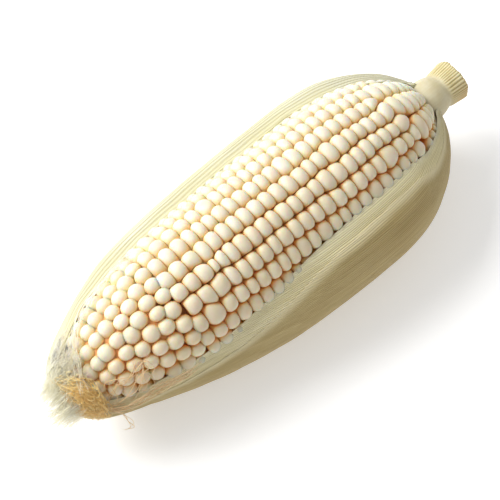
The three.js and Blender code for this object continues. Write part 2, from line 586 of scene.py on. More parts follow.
@dataclass(frozen=True)
class KernelFinish:
    """Milky kernel skin: cream crowns, with painted glow and shade down in the grooves that turns
    deep orange on the -Y side, away from the lamp, where the kernels are also painted darker.
    """

    crown: Colour = (0.84, 0.79, 0.675)
    shoulder: Colour = (0.86, 0.74, 0.53)
    # The flank and root colours are painted glow and shade in the grooves: pale yellow on the lit +Y
    # side, deep orange on the -Y side away from the lamp.
    lit_flank_glow: Colour = (0.96, 0.82, 0.52)
    lit_root_glow: Colour = (0.94, 0.76, 0.44)
    warm_flank: Colour = (0.98, 0.60, 0.27)
    warm_root: Colour = (0.98, 0.46, 0.15)
    roughness: float = 0.4

    def material(self) -> bpy.types.Material:
        """Make the material.

        Returns:
            The material.
        """
        bench = NodeBench("kernel_skin")
        groove = bench.mark("groove").outputs["Fac"]
        tint = bench.mark("tint").outputs["Fac"]
        # This mark rises towards the -Y side, away from the lamp, and carries painted shade.
        warm = bench.mark("warm").outputs["Fac"]
        top = [(0.0, self.crown), (0.14, self.crown), (0.27, self.shoulder)]
        # Painted glow and shade: cream crowns turn pale yellow or deep orange down the flanks into
        # the grooves.
        pale = bench.ramp(groove, [*top, (0.44, self.lit_flank_glow), (0.88, self.lit_root_glow)])
        deep = bench.ramp(groove, [*top, (0.42, self.warm_flank), (0.7, self.warm_root)])
        skin = bench.mix(warm, pale, deep)
        # Painted shade: the kernels on the -Y side, away from the lamp, are darkened.
        side_shade = bench.ramp(warm, [(0.4, (1.0, 1.0, 1.0)), (1.0, (0.88, 0.83, 0.74))])
        skin = bench.mix(1.0, skin, side_shade, "MULTIPLY")
        shade = bench.ramp(tint, [(0.0, (0.93, 0.91, 0.87)), (1.0, (1.0, 1.0, 1.0))])
        place = bench.add("ShaderNodeTexCoord").outputs["Object"]
        cloud = bench.noise(place, 260.0, 3.0, (1.0, 1.0, 1.0))
        milk = bench.ramp(cloud, [(0.35, (0.96, 0.95, 0.91)), (0.65, (1.0, 1.0, 1.0))])
        coloured = bench.mix(1.0, bench.mix(1.0, skin, shade, "MULTIPLY"), milk, "MULTIPLY")
        bench.link(coloured, bench.shader.inputs["Base Color"])
        rough = bench.spread(cloud, self.roughness - 0.05, self.roughness + 0.1)
        bench.link(rough, bench.shader.inputs["Roughness"])
        bench.shader.inputs["Specular IOR Level"].default_value = 0.38
        bench.scatter(0.88, (1.0, 0.55, 0.25), 0.0042)
        bench.bump(bench.noise(place, 900.0, 2.0, (1.0, 1.0, 1.0)), 0.1, 0.0001)
        return bench.material


@dataclass(frozen=True)
class HuskFinish:
    """Husk leaf: fine lengthwise veins, a pale tip, and a margin colour that is partly painted:
    shade by the kernels on the fresh leaves, light on the khaki ones.
    """

    name: str
    pale: Colour
    straw: Colour
    vein: Colour
    margin: Colour
    tip: Colour
    margin_width: float = 4.0
    rib_pitch: float = 0.62

    def material(self) -> bpy.types.Material:
        """Make the material.

        Returns:
            The material.
        """
        bench = NodeBench(self.name)
        leaf = bench.mark("leaf").outputs["Vector"]
        split = bench.add("ShaderNodeSeparateXYZ")
        bench.link(leaf, split.inputs["Vector"])
        fine = bench.noise(leaf, 1.0, 4.0, (0.02, 2.1, 1.0))
        broad = bench.noise(leaf, 1.0, 3.0, (0.012, 0.35, 0.02))
        patch = bench.noise(leaf, 1.0, 2.0, (0.03, 0.06, 0.02))
        ribs = bench.lines(split.outputs["Y"], self.rib_pitch, broad, 2.2)
        fibres = bench.ramp(fine, [(0.3, self.vein), (0.5, self.straw), (0.68, self.pale)])
        stripes = bench.ramp(broad, [(0.38, self.straw), (0.6, self.pale)])
        blade = bench.mix(0.5, fibres, stripes)
        grooves = bench.ramp(ribs, [(0.05, (0.62, 0.57, 0.44)), (0.6, (1.0, 1.0, 1.0))])
        blade = bench.mix(0.85, blade, grooves, "MULTIPLY")
        clouds = bench.ramp(patch, [(0.35, (0.92, 0.9, 0.84)), (0.65, (1.0, 1.0, 1.0))])
        blade = bench.mix(1.0, blade, clouds, "MULTIPLY")
        # The margin colour is partly painted: a yellow shaded edge by the kernels on the fresh
        # leaves, a lit strip on the khaki leaves.
        near = bench.between(split.outputs["Z"], 0.0, self.margin_width, 0.8, 0.0)
        blade = bench.mix(near, blade, self.margin)
        toward_tip = bench.between(split.outputs["X"], -96.0, -70.0, 0.7, 0.0)
        blade = bench.mix(toward_tip, blade, self.tip)
        bench.link(blade, bench.shader.inputs["Base Color"])
        bench.link(bench.spread(fine, 0.46, 0.68), bench.shader.inputs["Roughness"])
        bench.shader.inputs["Specular IOR Level"].default_value = 0.3
        bench.scatter(0.2, (1.0, 0.8, 0.4), 0.0014)
        both = bench.add("ShaderNodeMath", operation="ADD")
        bench.link(ribs, both.inputs[0])
        bench.link(fine, both.inputs[1])
        bench.bump(both.outputs[0], 0.85, 0.00018)
        return bench.material


# Partly painted light: the inner right leaf is made paler to stand for light on its strip, which
# faces away from the lamp.
STRAW_HUSK = HuskFinish(
    "husk_straw",
    pale=(0.96, 0.87, 0.58),
    straw=(0.88, 0.78, 0.47),
    vein=(0.72, 0.61, 0.32),
    margin=(0.95, 0.86, 0.56),
    tip=(0.80, 0.70, 0.42),
)
KHAKI_HUSK = HuskFinish(
    "husk_khaki",
    pale=(0.61, 0.49, 0.24),
    straw=(0.52, 0.40, 0.18),
    vein=(0.40, 0.29, 0.11),
    # Partly painted light: a brighter strip along the margin.
    margin=(0.83, 0.72, 0.44),
    tip=(0.64, 0.53, 0.28),
)
FRESH_HUSK = HuskFinish(
    "husk_fresh",
    pale=(0.86, 0.84, 0.65),
    straw=(0.84, 0.81, 0.58),
    vein=(0.79, 0.76, 0.51),
    # Painted shade: a yellower, darker strip along the margin next to the kernels.
    margin=(0.84, 0.78, 0.44),
    margin_width=3.0,
    tip=(0.92, 0.88, 0.60),
)


@dataclass(frozen=True)
class ShankFinish:
    """Cut stem: a smooth pale bulb, ribs with painted shade in their grooves, and an amber cob."""

    bulb: Colour = (0.68, 0.62, 0.43)
    pale: Colour = (0.80, 0.73, 0.46)
    fibre_and_groove_shade: Colour = (0.50, 0.42, 0.2)
    brown_tone: Colour = (0.60, 0.42, 0.18)
    chaff: Colour = (0.70, 0.34, 0.12)

    def material(self) -> bpy.types.Material:
        """Make the material.

        Returns:
            The material.
        """
        bench = NodeBench("shank_stem")
        stem = bench.mark("leaf").outputs["Vector"]
        split = bench.add("ShaderNodeSeparateXYZ")
        bench.link(stem, split.inputs["Vector"])
        groove = bench.mark("groove").outputs["Fac"]
        fine = bench.noise(stem, 1.0, 4.0, (0.05, 1.8, 1.0))
        patch = bench.noise(stem, 1.0, 3.0, (0.25, 0.15, 1.0))
        # Painted shade: the stem darkens to this colour between its ribs; the same colour marks the
        # real pores of the cut face.
        ribs = bench.ramp(groove, [(0.3, self.pale), (0.85, self.fibre_and_groove_shade)])
        streaks = bench.ramp(fine, [(0.36, (0.84, 0.79, 0.64)), (0.6, (1.0, 1.0, 1.0))])
        ribs = bench.mix(0.8, ribs, streaks, "MULTIPLY")
        in_stem = bench.between(split.outputs["X"], 83.0, 85.0, 0.0, 1.0)
        bulb = bench.mix(0.3, self.bulb, streaks, "MULTIPLY")
        blade = bench.mix(in_stem, bulb, ribs)
        clouds = bench.ramp(patch, [(0.35, (0.92, 0.89, 0.8)), (0.65, (1.0, 1.0, 1.0))])
        blade = bench.mix(1.0, blade, clouds, "MULTIPLY")
        # Browner on the low -Y side towards the cut.
        low_side = bench.between(split.outputs["Y"], 3.0, 15.0, 0.8, 0.0)
        near_cut = bench.between(split.outputs["X"], 82.0, 89.0, 0.15, 1.0)
        both = bench.add("ShaderNodeMath", operation="MULTIPLY")
        bench.link(low_side, both.inputs[0])
        bench.link(near_cut, both.inputs[1])
        blade = bench.mix(both.outputs[0], blade, self.brown_tone)
        rim = bench.between(split.outputs["X"], 90.4, 91.2, 0.0, 0.5)
        blade = bench.mix(rim, blade, self.brown_tone)
        place = bench.add("ShaderNodeTexCoord").outputs["Object"]
        dots = bench.add("ShaderNodeTexVoronoi")
        dots.inputs["Scale"].default_value = 1100.0
        bench.link(place, dots.inputs["Vector"])
        pores = bench.ramp(dots.outputs["Distance"], [(0.1, self.fibre_and_groove_shade), (0.4, (1.0, 1.0, 1.0))])
        depth = bench.between(split.outputs["Z"], 0.0, 8.3, 0.0, 1.0)
        pith = [(0.0, (0.86, 0.80, 0.58)), (0.6, (0.84, 0.76, 0.52))]
        pith += [(0.88, (0.70, 0.58, 0.34)), (1.0, self.brown_tone)]
        face = bench.mix(0.6, bench.ramp(depth, pith), pores, "MULTIPLY")
        in_face = bench.between(split.outputs["X"], 90.85, 91.0, 0.0, 1.0)
        blade = bench.mix(in_face, blade, face)
        on_cob = bench.between(split.outputs["X"], 70.5, 72.5, 1.0, 0.0)
        blade = bench.mix(on_cob, blade, self.chaff)
        bench.link(blade, bench.shader.inputs["Base Color"])
        bench.link(bench.spread(fine, 0.5, 0.7), bench.shader.inputs["Roughness"])
        bench.scatter(0.25, (1.0, 0.7, 0.4), 0.0018)
        bench.bump(fine, 0.35, 0.00015)
        return bench.material


@dataclass(frozen=True)
class SilkFinish:
    """Silk: fine golden strands, each its own shade."""

    name: str
    dark: Colour
    light: Colour
    glow: float = 0.35

    def material(self) -> bpy.types.Material:
        """Make the material.

        Returns:
            The material.
        """
        bench = NodeBench(self.name)
        tint = bench.mark("tint").outputs["Fac"]
        strand = bench.mark("along").outputs["Fac"]
        shade = bench.ramp(tint, [(0.0, self.dark), (1.0, self.light)])
        fade = bench.ramp(strand, [(0.0, (0.97, 0.93, 0.84)), (1.0, (1.0, 1.0, 1.0))])
        coloured = bench.mix(1.0, shade, fade, "MULTIPLY")
        bench.link(coloured, bench.shader.inputs["Base Color"])
        bench.link(bench.spread(tint, 0.36, 0.55), bench.shader.inputs["Roughness"])
        bench.scatter(self.glow, (1.0, 0.9, 0.7), 0.002)
        return bench.material


GOLD_SILK = SilkFinish("silk_gold", dark=(0.90, 0.53, 0.13), light=(1.0, 0.80, 0.33))
TAN_SILK = SilkFinish("silk_tan", dark=(0.56, 0.33, 0.13), light=(0.84, 0.58, 0.31))
PALE_SILK = SilkFinish("silk_pale", dark=(0.99, 0.93, 0.58), light=(1.0, 0.97, 0.74), glow=0.95)


# ---------------------------------------------------------------- kernels


# Steps down a kernel's flank: the depth under the crown's foot, its share of the kernel's
# width, and how square its outline is there.
ROW_FLANK = ((0.25, 1.0, 2.9), (0.6, 1.0, 4.5), (1.2, 1.0, 8.0), (6.5, 0.86, 4.0))
RING_FLANK = ((0.6, 0.98, 2.2), (1.6, 0.92, 2.2), (3.6, 0.75, 2.2))


@dataclass(frozen=True)
class CrownLine:
    """The line of the kernels' crowns, measured along its own length from the tip."""

    length: np.ndarray
    x: np.ndarray
    radius: np.ndarray
    lean: np.ndarray

    @classmethod
    def along(cls, shape: EarShape) -> "CrownLine":
        """Measure the line on a shape.

        Args:
            shape: The ear's shape.

        Returns:
            The measured line.
        """
        tip, base = shape.kernel_tip.x, shape.kernel_base.x
        t = np.linspace(0.0, math.pi, 1200)
        x = tip + (base - tip) * (0.5 - 0.5 * np.cos(t))
        radius = shape.kernel_radius(x)
        step = np.hypot(np.diff(x), np.diff(radius))
        length = np.concatenate([[0.0], np.cumsum(step)])
        lean = np.unwrap(np.arctan2(np.gradient(radius, length), np.gradient(x, length)))
        return cls(length, x, radius, lean)

    def length_at(self, x: float) -> float:
        """How far along the line a place on the axis is."""
        return float(np.interp(x, self.x, self.length))

    def read(self, length: np.ndarray, rise: np.ndarray) -> tuple[np.ndarray, np.ndarray]:
        """Find points off the line.

        Args:
            length: How far along the line they are.
            rise: How far they stand off it, outwards.

        Returns:
            Their places along the axis and their radii.
        """
        lean = np.interp(length, self.length, self.lean)
        x = np.interp(length, self.length, self.x) - rise * np.sin(lean)
        radius = np.interp(length, self.length, self.radius) + rise * np.cos(lean)
        return x, radius


@dataclass(frozen=True)
class Kernel:
    """One kernel: where it sits on the ear, and its sizes.

    Turns and widths are in degrees round the ear, growing towards -Y, and side_gap is what a
    kernel of a row keeps clear on each side. The outline is round at 2 and squarer above it,
    and the two presses say how hard the kernel pushes against its neighbours.
    """

    row: int
    place: float
    half_length: float
    turn: float
    half_width: float
    side_gap: float
    height: float
    outline: float
    press_along: float
    press_across: float
    tint: float
    in_row: bool


@dataclass(frozen=True)
class Swelling:
    """A place where a kernel has grown large and shouldered its neighbours aside."""

    row: int
    x: float
    push: float


@dataclass
class KernelRows:
    """All the kernels: straight rows along the ear and staggered rings of them at the tip."""

    shape: EarShape
    space: EarSpace
    line: CrownLine
    seed: int = 11
    first_row_deg: float = 0.6
    cap_x: float = -50.0
    last_x: float = 73.2
    ring_size: float = 6.4
    gap: float = 0.02
    end_gap: float = 0.015
    crown_height: float = 3.1
    hidden: range = range(7, 16)
    grid: np.ndarray = field(init=False)
    edges: list[np.ndarray] = field(init=False)
    swellings: tuple[Swelling, ...] = (
        Swelling(2, -38.0, 2.0),
        Swelling(3, -42.0, 2.4),
        Swelling(1, -31.0, -2.6),
        Swelling(1, -38.0, 1.6),
        Swelling(2, 41.0, 2.6),
        Swelling(1, 55.0, 2.0),
        Swelling(3, 33.0, 2.0),
        Swelling(3, 57.0, 2.8),
        Swelling(21, 12.0, 1.2),
        Swelling(20, -20.0, 1.4),
        Swelling(0, 26.0, 1.2),
        Swelling(19, 44.0, 1.4),
        Swelling(2, 61.0, 1.4),
        Swelling(0, 52.0, 1.8),
        Swelling(4, 46.0, 2.2),
        Swelling(3, 8.0, 1.0),
        Swelling(1, 20.0, 1.2),
    )

    def edge(self, number: int, x: np.ndarray, drift: list[np.ndarray]) -> np.ndarray:
        """Find the line between two rows.

        Args:
            number: Which line, counted round the ear.
            x: Places along the axis.
            drift: Each line's wandering at those places.

        Returns:
            Its turn in degrees, growing towards -Y.
        """
        plain = self.first_row_deg + (number - 0.5) * SECTOR_DEG
        around = number % ROW_COUNT
        turn = plain + self.shape.twist_deg_per_mm * x + drift[around]
        odd_row = around if around % 2 else around - 1
        end = self.row_end(odd_row)
        closing = smoothstep(x, end - 7.0, end + 1.5) * SECTOR_DEG / 2
        turn = turn + (closing if around % 2 else -closing)
        for swelling in self.swellings:
            near = np.exp(-(((x - swelling.x) / 3.0) ** 2)) * swelling.push
            if around == swelling.row:
                turn = turn - near
            if around == (swelling.row + 1) % ROW_COUNT:
                turn = turn + near
        return turn

    def row_end(self, row: int) -> float:
        """Where an odd row runs out near the base, as the ear narrows."""
        return 59.5 + 3.5 * math.sin(row * 2.3)

    def pitch(self, x: float, push: float) -> float:
        """Find the usual length of a kernel along its row.

        Args:
            x: Where its nearer end is.
            push: How far it has swollen, in degrees to each side.

        Returns:
            The length.
        """
        near_tip = 1.0 - float(smoothstep(np.array(x), -50.0, -20.0))
        near_base = float(smoothstep(np.array(x), 61.0, 71.0))
        return (4.6 + 0.9 * near_tip - 2.5 * near_base) * (1.0 + 0.17 * push)

    def lay_out(self) -> list[Kernel]:
        """Lay the kernels out along the rows and around the tip.

        Returns:
            Every kernel.
        """
        rng = np.random.default_rng(self.seed)
        self.grid = np.linspace(-90.0, 80.0, 681)
        drift = [wander(self.grid, rng, 46.0) for _ in range(ROW_COUNT)]
        self.edges = [self.edge(n, self.grid, drift) for n in range(ROW_COUNT)]
        self.edges.append(self.edges[0] + 360.0)
        kernels: list[Kernel] = []
        start = self.line.length_at(self.cap_x)
        for row in range(ROW_COUNT):
            end_x = self.row_end(row) - 5.0 if row % 2 else self.last_x
            end = self.line.length_at(end_x)
            here = start + rng.uniform(-0.9, 1.3)
            while here < end:
                x = float(self.line.read(np.array(here), np.array(0.0))[0])
                pushes = [
                    s.push * math.exp(-(((x + 2.3 - s.x) / 2.6) ** 2))
                    for s in self.swellings
                    if s.row == row
                ]
                size = self.pitch(x, sum(pushes)) * rng.uniform(0.87, 1.13)
                kernels.append(self.row_kernel(rng, row, here + size / 2, size))
                here += size
        return kernels + self.tip_rings(rng, start)

    def row_kernel(
        self, rng: np.random.Generator, row: int, middle: float, size: float
    ) -> Kernel:
        """Size one kernel of a row.

        Args:
            rng: The source of chance.
            row: Its row.
            middle: How far along the crown line it sits.
            size: Its length along the row.

        Returns:
            The kernel.
        """
        x, radius = self.line.read(np.array(middle), np.array(0.0))
        low = float(np.interp(x, self.grid, self.edges[row]))
        high = float(np.interp(x, self.grid, self.edges[row + 1]))
        width = math.radians(high - low) * float(radius)
        return Kernel(
            row=row,
            place=middle,
            half_length=size / 2 - self.end_gap,
            turn=(low + high) / 2,
            half_width=(high - low) / 2,
            side_gap=math.degrees(self.gap / float(radius)),
            height=min(self.crown_height, 0.46 * width, 0.8 + 0.52 * size) * rng.uniform(0.94, 1.06),
            outline=rng.uniform(2.1, 2.4),
            press_along=rng.uniform(1.17, 1.25),
            press_across=rng.uniform(1.07, 1.16),
            tint=rng.uniform(0.0, 1.0),
            in_row=True,
        )

    def tip_rings(self, rng: np.random.Generator, start: float) -> list[Kernel]:
        """Lay staggered rings of rounder kernels over the tip.

        Args:
            rng: The source of chance.
            start: How far along the crown line the straight rows begin.

        Returns:
            The tip's kernels.
        """
        made: list[Kernel] = []
        here = start + 0.3
        first = 0.0
        while here > 1.6:
            size = self.ring_size * (0.8 + 0.2 * min(here / 26.0, 1.0)) * rng.uniform(0.94, 1.05)
            middle = max(here - 0.44 * size, 0.9)
            _, radius = self.line.read(np.array(middle), np.array(0.0))
            count = max(1, round(2.0 * math.pi * float(radius) / (size * 1.02)))
            shares = 1.0 + rng.uniform(-0.17, 0.17, count)
            widths = 360.0 * shares / shares.sum()
            turns = first + np.cumsum(widths) - widths / 2
            first += 180.0 / count + rng.uniform(-3.0, 3.0)
            for turn, width, share in zip(turns, widths, shares):
                row = round((turn - self.first_row_deg) / SECTOR_DEG) % ROW_COUNT
                half = math.radians(width / 2) * float(radius)
                made.append(
                    Kernel(
                        row=row,
                        place=middle + rng.uniform(-0.45, 0.45),
                        half_length=size / 2 * (0.6 + 0.45 * share),
                        turn=turn,
                        half_width=width / 2 * 1.03,
                        side_gap=0.0,
                        height=min(self.crown_height, half) * rng.uniform(0.95, 1.1) * share,
                        outline=rng.uniform(2.0, 2.2),
                        press_along=1.0,
                        press_across=1.0,
                        tint=rng.uniform(0.0, 1.0),
                        in_row=False,
                    )
                )
            here -= 0.87 * size
        return made

    def kernel_mesh(self, kernel: Kernel, parts: MeshParts, fine: bool) -> None:
        """Model one kernel: a domed crown pressed against its neighbours, over square flanks.

        Args:
            kernel: The kernel.
            parts: What to add it to.
            fine: False for one that the husk covers.
        """
        segments, rings = (28, 9) if fine else (12, 4)
        angle = np.linspace(0.0, 2.0 * math.pi, segments, endpoint=False)
        lift = np.linspace(0.0, math.pi / 2, rings + 1)[1:]
        reach = [*np.sin(lift)]
        rise = [*np.cos(lift)]
        power = [kernel.outline] * rings
        for depth, share, square in ROW_FLANK if kernel.in_row else RING_FLANK:
            reach.append(share)
            rise.append(-depth / kernel.height)
            power.append(square)
        reach = np.array([0.0, *reach])[:, None]
        rise = np.array([1.0, *rise])[:, None]
        n = np.array([2.0, *power])[:, None]
        ring = (np.abs(np.cos(angle)) ** n + np.abs(np.sin(angle)) ** n) ** (-1.0 / n)
        along = kernel.press_along * reach * ring * np.cos(angle)
        across = kernel.press_across * reach * ring * np.sin(angle)
        up = np.broadcast_to(kernel.height * (rise - 1.0), along.shape)
        if kernel.in_row:
            along, across = hold(along), hold(across)
        x, radius = self.line.read(kernel.place + kernel.half_length * along, up)
        if kernel.in_row:
            low = np.interp(x, self.grid, self.edges[kernel.row]) + kernel.side_gap
            high = np.interp(x, self.grid, self.edges[kernel.row + 1]) - kernel.side_gap
            turn = (low + high) / 2 + (high - low) / 2 * across
        else:
            turn = kernel.turn + kernel.half_width * across
        points = round_axis(x, -turn, np.maximum(radius, 0.4))
        rows = len(reach)
        keep = np.concatenate([[0], np.arange(segments, rows * segments)])
        points = points[keep]
        # The groove mark, the depth down the flank, carries the painted glow and shade of the
        # grooves.
        groove = np.clip(-up / (kernel.height + 1.5), 0.0, 1.0).ravel()[keep]
        bottom = points[-segments:].mean(axis=0, keepdims=True)
        points = np.concatenate([points, bottom])
        groove = np.append(groove, 1.0)
        # Share of painted shade, rising towards the -Y side, away from the lamp.
        warm = min(max(0.5 + 0.62 * math.sin(math.radians(kernel.turn - 5.0)), 0.0), 1.0)
        top_ring = 1 + np.arange(segments)
        last_ring = len(points) - 1 - segments + np.arange(segments)
        faces = [
            grid_faces(rows - 1, segments, True) + 1,
            fan_faces(0, top_ring, False),
            fan_faces(len(points) - 1, last_ring, True),
        ]
        same = np.ones(len(points))
        parts.add(points, faces, groove=groove, tint=same * kernel.tint, warm=same * warm)

    def build(self, material: bpy.types.Material) -> list[bpy.types.Object]:
        """Model every row.

        Args:
            material: The kernels' skin.

        Returns:
            One piece per row.
        """
        rows = [MeshParts() for _ in range(ROW_COUNT)]
        for kernel in self.lay_out():
            self.kernel_mesh(kernel, rows[kernel.row], kernel.row not in self.hidden)
        pieces = []
        for row, parts in enumerate(rows):
            piece = parts.make(f"kernels_row_{row + 1:02d}", self.space)
            finish_piece(piece, material, [f"kernel_row_{row + 1:02d}"])
            pieces.append(piece)
        return pieces


# ---------------------------------------------------------------- cob and shank


@dataclass
class CobAndShank:
    """The pithy cob under the kernels and the cut shank at the base, as one grown piece."""

    shape: EarShape
    space: EarSpace
    cob_share: float = 0.72
    chaff_depth: float = 3.3
    neck_radius: float = 6.6
    seed: int = 5
    fibre_height: float = 0.1
    fibre_count: int = 44
    chaff_height: float = 0.3
    around: int = 264

    def profile(self) -> tuple[np.ndarray, np.ndarray]:
        """Draw the piece's outline from the cob's tip to the middle of the cut.

        Returns:
            Places along the axis and radii.
        """
        x = np.linspace(self.shape.kernel_tip.x + 2.0, 71.0, 90)
        crown = self.shape.kernel_radius(x)
        bare = smoothstep(x, -46.0, -56.0)
        cob = np.maximum(self.cob_share * crown, (crown - self.chaff_depth) * bare)
        cob = np.maximum(cob, self.neck_radius * (x > 0))
        stem = {
            71.4: 6.4,
            72.4: 7.2,
            73.4: 7.75,
            74.8: 8.2,
            76.4: 8.4,
            78.2: 8.38,
            79.8: 8.15,
            81.2: 7.75,
            82.3: 7.35,
            83.0: 7.1,
            83.5: 7.1,
            84.1: 7.4,
            85.4: 7.6,
            87.0: 7.8,
            88.6: 8.0,
            90.0: 8.22,
            90.8: 8.25,
            91.05: 8.12,
            91.2: 7.8,
            91.12: 6.2,
            91.18: 4.4,
            91.26: 2.2,
            91.3: 0.0,
        }
        return np.append(x, list(stem)), np.append(cob, list(stem.values()))

    def build(self, material: bpy.types.Material) -> bpy.types.Object:
        """Turn the outline round the axis, then raise its fibres.

        Args:
            material: The stem's material.

        Returns:
            The piece.
        """
        rng = np.random.default_rng(self.seed)
        x, radius = self.profile()
        x, radius = x[:, None], radius[:, None]
        turn = np.linspace(0.0, 360.0, self.around, endpoint=False)[None, :]
        angle = np.radians(turn)
        uneven = 2.0 * np.sin(angle * 5) + np.sin(angle * 3)
        fibres = np.sin(angle * self.fibre_count + uneven)
        ribbed = smoothstep(x, 83.4, 85.0) * (radius > 7.0)
        waver = wander(np.arange(self.around) * 1.0, rng, 60.0)[None, :]
        cut = smoothstep(x, 89.5, 91.0) * 0.35 * waver
        chaff = (x < 70.0) * self.chaff_height * np.sin(x * 1.4) * np.sin(angle * ROW_COUNT)
        ridge = self.fibre_height * ribbed * fibres * (1.0 + 0.5 * waver) + chaff * (radius > 3.0)
        oval = 1.0 + 0.03 * np.cos(angle * 2 + 0.6) * (x > 71.0)
        points = round_axis(x + cut, turn, np.maximum((radius + ridge) * oval, 0.0))
        rows = len(x)
        keep = np.arange(self.around, (rows - 1) * self.around)
        tip = points[: self.around].mean(axis=0, keepdims=True)
        end = points[-self.around :].mean(axis=0, keepdims=True)
        from_low_side = np.radians(np.abs((turn - 55.0) % 360.0 - 180.0)) * self.shape.bulb_radius
        # Marks the grooves between the ribs, where the stem material paints shade.
        between_ribs = (0.5 - 0.5 * fibres * ribbed).reshape(-1)[keep]
        marks = np.broadcast_arrays(x, from_low_side, radius)
        leaf = np.stack(marks, axis=-1).reshape(-1, 3)[keep]
        leaf = np.concatenate([leaf, leaf[:1], leaf[-1:]])
        count = len(keep)
        points = np.concatenate([points[keep], tip, end])
        faces = [
            grid_faces(rows - 2, self.around, True)[:, ::-1],
            fan_faces(count, np.arange(self.around), True),
            fan_faces(count + 1, count - self.around + np.arange(self.around), False),
        ]
        parts = MeshParts()
        grooves = np.concatenate([between_ribs, [0.5, 0.5]])
        parts.add(points, faces, leaf=leaf, groove=grooves)
        piece = parts.make("cob_with_cut_shank", self.space)
        finish_piece(piece, material, ["cob_and_shank"])
        return piece


# ---------------------------------------------------------------- husk


@dataclass(frozen=True)
class Leaf:
    """One husk leaf: its layer, its margins in degrees of turn, and its ragged tip."""

    name: str
    layer: int
    low: float
    high: float
    tip_x: float
    seed: int
    slip_share: float = 0.0
    ragged: float = 2.2
    point_share: float = 0.8
    point_length: float = 9.0


LEAVES = {
    Leaf("left_inner", layer=0, low=66.0, high=143.0, tip_x=-97.0, seed=31): FRESH_HUSK,
    Leaf("left_outer", layer=1, low=66.6, high=176.0, tip_x=-98.5, seed=32): FRESH_HUSK,
    Leaf(
        "right_inner", layer=0, low=222.0, high=306.0, tip_x=-94.0, seed=33, slip_share=1.0
    ): STRAW_HUSK,
    Leaf(
        "right_outer", layer=1, low=184.0, high=296.0, tip_x=-96.0, seed=34, slip_share=1.15
    ): KHAKI_HUSK,
    Leaf("back", layer=2, low=130.0, high=246.0, tip_x=-98.5, seed=35): KHAKI_HUSK,
}


